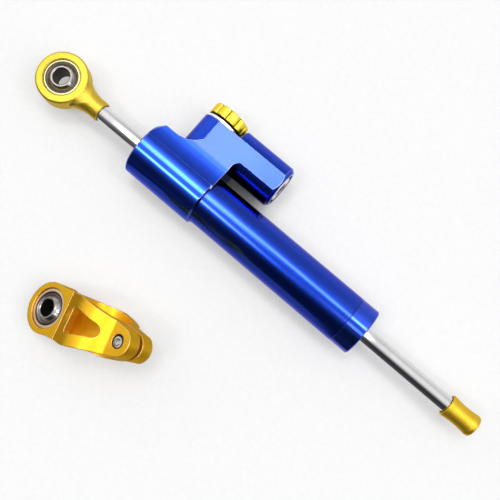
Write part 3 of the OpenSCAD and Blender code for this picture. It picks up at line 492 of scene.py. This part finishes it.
# The knob is turned from aluminium, and a round cutter leaves ten lobes with
# a sharp groove between each pair. It is anodised gold, and a screw holds it
# on its stem.
def knob_tree():
    """Wraps a grid round the +Y axis and along the knob's section, into a ring of lobes."""
    tree = bpy.data.node_groups.new("fluted_knob", "GeometryNodeTree")

    def calc(operation, *terms):
        return maths(tree, operation, *terms)

    sockets = tree.interface
    sockets.new_socket(name="Lobes", in_out="INPUT", socket_type="NodeSocketInt")
    for label in ("Radius", "Lobe Radius", "Groove", "Height", "Rounding", "Recess Radius",
                  "Recess Floor", "Bore Radius", "Centre X", "Foot Y"):
        sockets.new_socket(name=label, in_out="INPUT", socket_type="NodeSocketFloat")
    sockets.new_socket(name="Material", in_out="INPUT", socket_type="NodeSocketMaterial")
    sockets.new_socket(name="Geometry", in_out="OUTPUT", socket_type="NodeSocketGeometry")
    size = tree.nodes.new("NodeGroupInput").outputs

    # the grid's X goes round the knob, its Y from station to station of the
    # section: two rounded corners, two points of the recess, two of the bore
    lobe_steps = 24
    corner_steps = 6
    last_outside = 2 * corner_steps + 1
    stations = last_outside + 5
    grid = wire(tree, "GeometryNodeMeshGrid",
                {"Size X": 1.0, "Size Y": 1.0, "Vertices Y": stations + 1})
    columns = calc("MULTIPLY_ADD", size["Lobes"], lobe_steps, 1.0)
    tree.links.new(columns, grid.inputs["Vertices X"])
    position = tree.nodes.new("GeometryNodeInputPosition").outputs[0]
    spot = wire(tree, "ShaderNodeSeparateXYZ", i0=position)
    turn = calc("MULTIPLY", calc("ADD", spot.outputs["X"], 0.5), 2.0 * math.pi)
    station = calc("ROUND", calc("MULTIPLY", calc("ADD", spot.outputs["Y"], 0.5), stations))
    station = calc("MODULO", station, stations)

    # a lobe's outline, by the angle from the lobe's middle; a groove is on top
    pitch = calc("DIVIDE", 2.0 * math.pi, size["Lobes"])
    from_top = calc("SUBTRACT", turn, 0.5 * math.pi)
    nudge = 0.0001
    lobe_share = calc("FRACT", calc("ADD", calc("DIVIDE", from_top, pitch), nudge))
    lean = calc("MULTIPLY", calc("SUBTRACT", lobe_share, 0.5 + nudge), pitch)
    lobe_centre = calc("SUBTRACT", size["Radius"], size["Lobe Radius"])
    aside = calc("MULTIPLY", lobe_centre, calc("SINE", lean))
    reach = calc("SQRT", calc("SUBTRACT", calc("POWER", size["Lobe Radius"], 2.0),
                              calc("POWER", aside, 2.0)))
    outline = calc("ADD", calc("MULTIPLY", lobe_centre, calc("COSINE", lean)), reach)
    to_groove = calc("DIVIDE", calc("ABSOLUTE", lean), pitch)
    cut = calc("MULTIPLY", ramp(tree, to_groove, 0.44, 0.5), size["Groove"])
    outline = calc("SUBTRACT", outline, cut)

    # the outside: each corner takes a quarter turn
    upper = calc("GREATER_THAN", station, corner_steps + 0.5)
    quarter = calc("MULTIPLY", calc("SUBTRACT", station, upper), 0.5 * math.pi / corner_steps)
    quarter = calc("SUBTRACT", quarter, 0.5 * math.pi)
    inset = calc("MULTIPLY", size["Rounding"], calc("SUBTRACT", 1.0, calc("COSINE", quarter)))
    outer_r = calc("SUBTRACT", outline, inset)
    straight = calc("SUBTRACT", size["Height"], calc("MULTIPLY", size["Rounding"], 2.0))
    outer_y = calc("MULTIPLY", size["Rounding"], calc("ADD", 1.0, calc("SINE", quarter)))
    outer_y = calc("MULTIPLY_ADD", upper, straight, outer_y)

    # the inside: down the recess, in to the bore and down to the foot
    inside = calc("GREATER_THAN", station, last_outside + 0.5)
    at_top = calc("LESS_THAN", station, last_outside + 1.5)
    in_recess = calc("LESS_THAN", station, last_outside + 2.5)
    above_foot = calc("LESS_THAN", station, last_outside + 3.5)
    ledge = calc("SUBTRACT", size["Recess Radius"], size["Bore Radius"])
    inner_r = calc("MULTIPLY_ADD", in_recess, ledge, size["Bore Radius"])
    recess_depth = calc("SUBTRACT", size["Height"], size["Recess Floor"])
    inner_y = calc("MULTIPLY_ADD", above_foot, size["Recess Floor"],
                   calc("MULTIPLY", at_top, recess_depth))

    radius = calc("MULTIPLY_ADD", inside, calc("SUBTRACT", inner_r, outer_r), outer_r)
    height = calc("MULTIPLY_ADD", inside, calc("SUBTRACT", inner_y, outer_y), outer_y)
    place = wire(tree, "ShaderNodeCombineXYZ",
                 X=calc("MULTIPLY_ADD", radius, calc("COSINE", turn), size["Centre X"]),
                 Y=calc("ADD", height, size["Foot Y"]),
                 Z=calc("MULTIPLY", radius, calc("SINE", turn)))
    wrapped = wire(tree, "GeometryNodeSetPosition", Geometry=grid.outputs["Mesh"],
                   Position=place.outputs[0])
    closed = wire(tree, "GeometryNodeMergeByDistance", {"Distance": 0.000002},
                  Geometry=wrapped.outputs[0])
    outward = wire(tree, "GeometryNodeFlipFaces", Mesh=closed.outputs[0])
    smooth = wire(tree, "GeometryNodeSetShadeSmooth", Geometry=outward.outputs[0])
    edge_angle = tree.nodes.new("GeometryNodeInputMeshEdgeAngle").outputs[0]
    sharp = wire(tree, "GeometryNodeSetShadeSmooth", {"Shade Smooth": False},
                 Geometry=smooth.outputs[0], Selection=calc("GREATER_THAN", edge_angle, 0.6))
    sharp.domain = "EDGE"
    real = wire(tree, "GeometryNodeRealizeInstances", Geometry=sharp.outputs[0])
    dressed = wire(tree, "GeometryNodeSetMaterial", Geometry=real.outputs[0],
                   Material=size["Material"])
    wire(tree, "NodeGroupOutput", Geometry=dressed.outputs[0])
    return tree


knob_low, knob_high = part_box("adjuster_knob")
knob_centre = (0.5 * (knob_low.x + knob_high.x), knob_low.y, 0.0)
knob_radius = 0.0122
knob_gold = metal("knob_gold", (0.76, 0.54, 0.036), (0.88, 0.65, 0.052), 0.42,
                  lines=(0, 1, 0), depth=0.04, edge=0.0002, coat=0.3, rim=gold_rim, wear_and_highlight=0.1)
# painted shade darkens its grooves and the foot under it
painted_groove_shade = ramp(knob_gold.node_tree, distance_from(knob_gold, knob_centre, (0.0, 1.0, 0.0)),
                 knob_radius - 0.0008, knob_radius - 0.00115)
finish_where(knob_gold, painted_groove_shade, 0.6, colour=(0.16, 0.12, 0.0))
painted_foot_shade = ramp(knob_gold.node_tree, axis_of(knob_gold, "Y"),
               knob_low.y + 0.0006, knob_low.y + 0.0002)
finish_where(knob_gold, painted_foot_shade, 0.6, colour=(0.03, 0.02, 0.01))
knob = bpy.data.objects.new("fluted_knob", bpy.data.meshes.new("fluted_knob"))
bpy.context.scene.collection.objects.link(knob)
fluting = knob.modifiers.new("fluting", "NODES")
fluting.node_group = knob_tree()
knob_sizes = {
    "Lobes": 10, "Radius": knob_radius, "Lobe Radius": 0.005, "Groove": 0.0005,
    "Height": knob_high.y - knob_low.y, "Rounding": 0.0009, "Recess Radius": 0.0033,
    "Recess Floor": 0.0045, "Bore Radius": 0.0025, "Centre X": knob_centre[0],
    "Foot Y": knob_low.y, "Material": knob_gold,
}
for item in fluting.node_group.interface.items_tree:
    if item.in_out == "INPUT":
        fluting[item.identifier] = knob_sizes[item.name]
knob_made = knob.evaluated_get(bpy.context.evaluated_depsgraph_get())
knob_mesh = bpy.data.meshes.new_from_object(knob_made)
knob.modifiers.clear()
knob.data = knob_mesh
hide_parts("adjuster_knob")
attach(knob, "adjuster")

# The gland that guides the knob's stem shows as a pale collar under the
# knob. It is turned, left uncoloured and screwed into the boss.
collar_silver = metal("collar_silver", (0.78, 0.78, 0.80), (0.88, 0.88, 0.90), 0.3,
                      lines=(0, 1, 0))
paint(nodes["adjuster_gland"], collar_silver)

# The reservoir's end plug is clear anodised aluminium. A dark spring clip
# holds it, and a brass screw with a dark socket closes its filling hole.
plug_silver = metal("plug_silver", (0.80, 0.74, 0.64), (0.90, 0.85, 0.76), 0.38,
                    lines=(0.4, 0.4, 0.4))
paint(nodes["end_plug"], plug_silver)
clip_steel = metal("clip_steel", (0.03, 0.03, 0.035), (0.07, 0.07, 0.08), 0.35,
                   rim=(0.2, 0.2, 0.2))
paint(nodes["plug_circlip"], clip_steel)
fill_brass = metal("fill_brass", (0.16, 0.12, 0.07), (0.26, 0.20, 0.12), 0.4,
                   lines=(0.5, 0.5, 0.5), rim=(0.2, 0.16, 0.1))
fill_low, fill_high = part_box("fill_screw")
fill_centre = (fill_high.x, 0.5 * (fill_low.y + fill_high.y), 0.0)
socket_radius = 0.0025
fill_socket = ramp(fill_brass.node_tree, distance_from(fill_brass, fill_centre, (1.0, 0.0, 0.0)),
                   socket_radius - 0.0001, socket_radius + 0.0001, 1.0, 0.0)
finish_where(fill_brass, fill_socket, 0.5, colour=(0.02, 0.018, 0.018))
paint(nodes["fill_screw"], fill_brass)

# The clamp is milled from aluminium, brushed along its arm and anodised in a
# deeper gold. A small socket screw closes its ears.
clamp_gold = metal("clamp_gold", (0.73, 0.405, 0.015), (0.85, 0.49, 0.024), 0.42,
                   lines=(0.15, 0.9, 0.3), depth=0.10, edge=0.0007, coat=0.1, rim=gold_rim,
                   wear_and_highlight=0.2)
paint(nodes["clamp_bracket"], clamp_gold)
screw_steel = metal("screw_steel", (0.50, 0.49, 0.48), (0.64, 0.63, 0.62), 0.3)
screw_tree = screw_steel.node_tree
screw_low, screw_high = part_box("pinch_screw")
screw_away = distance_from(screw_steel, tuple(0.5 * (screw_low + screw_high)), clamp_axis)
# painted shade: a dark ring at the socket's wall, and a darker ring round the head for the shade in
# the gap round it
painted_socket_shade = band(screw_tree, screw_away, 0.0016, 0.0021, 0.0001)
finish_where(screw_steel, painted_socket_shade, 0.5, colour=(0.10, 0.09, 0.08))
painted_gap_shade = ramp(screw_tree, screw_away, 0.0031, 0.0033)
finish_where(screw_steel, painted_gap_shade, 0.5, colour=(0.06, 0.05, 0.04))
paint(nodes["pinch_screw"], screw_steel)

# What is inside the damper hardly shows: rubber seals and rings, sintered
# bushes, a brass valve, and the piston, liner and stem of satin steel.
rubber = bpy.data.materials.new("black_rubber")
rubber.use_nodes = True
rubber_tree = rubber.node_tree
rubber_shader = rubber_tree.nodes["Principled BSDF"]
rubber_grain = wire(rubber_tree, "ShaderNodeTexNoise", {"Scale": 900.0, "Detail": 3.0},
                    Vector=spot_on(rubber))
rubber_tint = wire(rubber_tree, "ShaderNodeValToRGB", Fac=rubber_grain.outputs["Fac"])
stops(rubber_tint, [(0.3, (0.010, 0.010, 0.010)), (0.7, (0.022, 0.022, 0.023))])
rubber_tree.links.new(rubber_tint.outputs["Color"], rubber_shader.inputs["Base Color"])
rubber_shader.inputs["Roughness"].default_value = 0.55
bronze = metal("sintered_bronze", (0.45, 0.28, 0.13), (0.58, 0.38, 0.20), 0.45)
brass = metal("turned_brass", (0.62, 0.45, 0.20), (0.76, 0.58, 0.28), 0.25,
              lines=(0.5, 0.5, 0.5))
satin_steel = metal("satin_steel", (0.55, 0.55, 0.57), (0.68, 0.68, 0.70), 0.3)
for finish, names in (
        (rubber, ("rod_seals", "rod_wipers", "tube_o_rings", "plug_o_ring", "stem_o_ring",
                  "floating_piston_seal")),
        (bronze, ("rod_bushes",)),
        (brass, ("valve_seat", "needle")),
        (satin_steel, ("inner_tube", "piston", "piston_clips", "floating_piston",
                       "adjuster_stem", "knob_screw", "piston_guide_ring")),
):
    for name in names:
        paint(nodes[name], finish)
